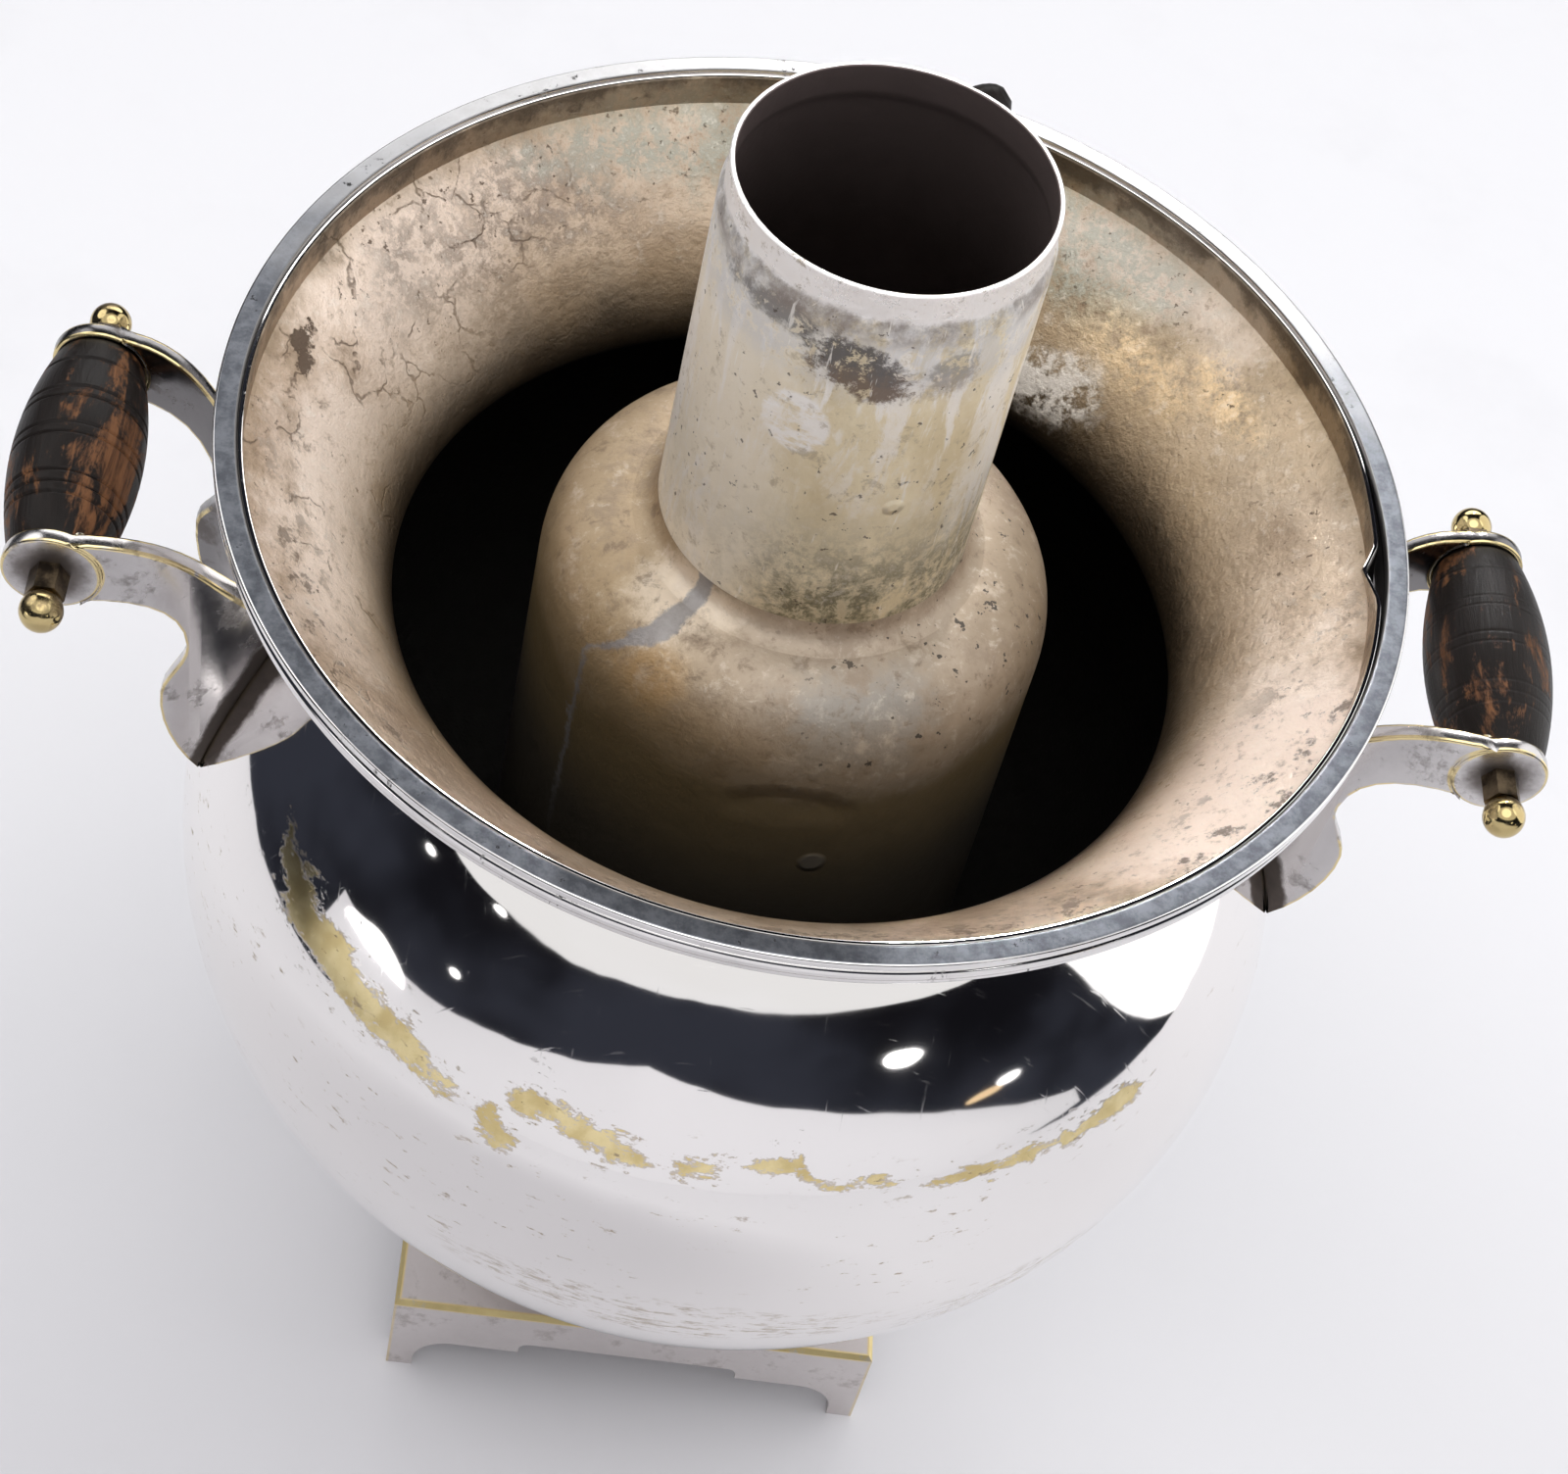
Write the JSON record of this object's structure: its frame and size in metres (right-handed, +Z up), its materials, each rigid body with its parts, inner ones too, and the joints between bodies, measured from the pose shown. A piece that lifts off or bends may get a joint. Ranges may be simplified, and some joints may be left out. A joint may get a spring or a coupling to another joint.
{
  "type": "samovar",
  "caption": "Ball-shaped samovar with a flared open mouth, inner fire tube and chimney, square footed base, turned wooden handle grips and a tap with a lever key.",
  "frame": {"origin": "on the vessel's axis at the floor the feet stand on", "axes": "+Z up along the chimney, -Y towards the tap, +X through the right handle as seen facing the tap"},
  "size_m": [0.3748, 0.389, 0.422],
  "materials": {
    "silver_plate": "polished silver plate over brass, worn through in patches",
    "tarnished_plate": "tarnished, stained metal",
    "iron": "rough, sooty",
    "brass": "polished, slightly dull",
    "dark_wood": "worn black stain on brown wood"
  },
  "bodies": {
    "vessel": {"shell": "silver_plate", "mouth": "silver_plate", "rim_ring": "silver_plate", "fire_tube": "tarnished_plate", "chimney": "tarnished_plate", "grate": "iron", "pedestal": "silver_plate", "base": "silver_plate", "pedestal_rivets": "brass", "arm_right_front": "silver_plate", "arm_right_rear": "silver_plate", "arm_left_front": "silver_plate", "arm_left_rear": "silver_plate", "grip_rods": "brass", "acorn_nuts": "brass", "tap_flange": "silver_plate", "tap_barrel": "silver_plate"},
    "key": {"tap_plug": "brass", "key_lever": "brass", "key_knob": "dark_wood", "plug_washer": "brass", "plug_nut": "brass"},
    "grip_right": {"grip_right": "dark_wood"},
    "grip_left": {"grip_left": "dark_wood"}
  },
  "joints": [
    {"name": "key_turn", "type": "hinge", "parent": "vessel", "child": "key", "pos_m": [0, -0.20597, 0.14], "axis": [0, 0, 1], "continuous": true},
    {"name": "grip_right_spin", "type": "hinge", "parent": "vessel", "child": "grip_right", "pos_m": [0.172, 0, 0.295], "axis": [0, 1, 0], "continuous": true},
    {"name": "grip_left_spin", "type": "hinge", "parent": "vessel", "child": "grip_left", "pos_m": [-0.172, 0, 0.295], "axis": [0, 1, 0], "continuous": true}
  ]
}
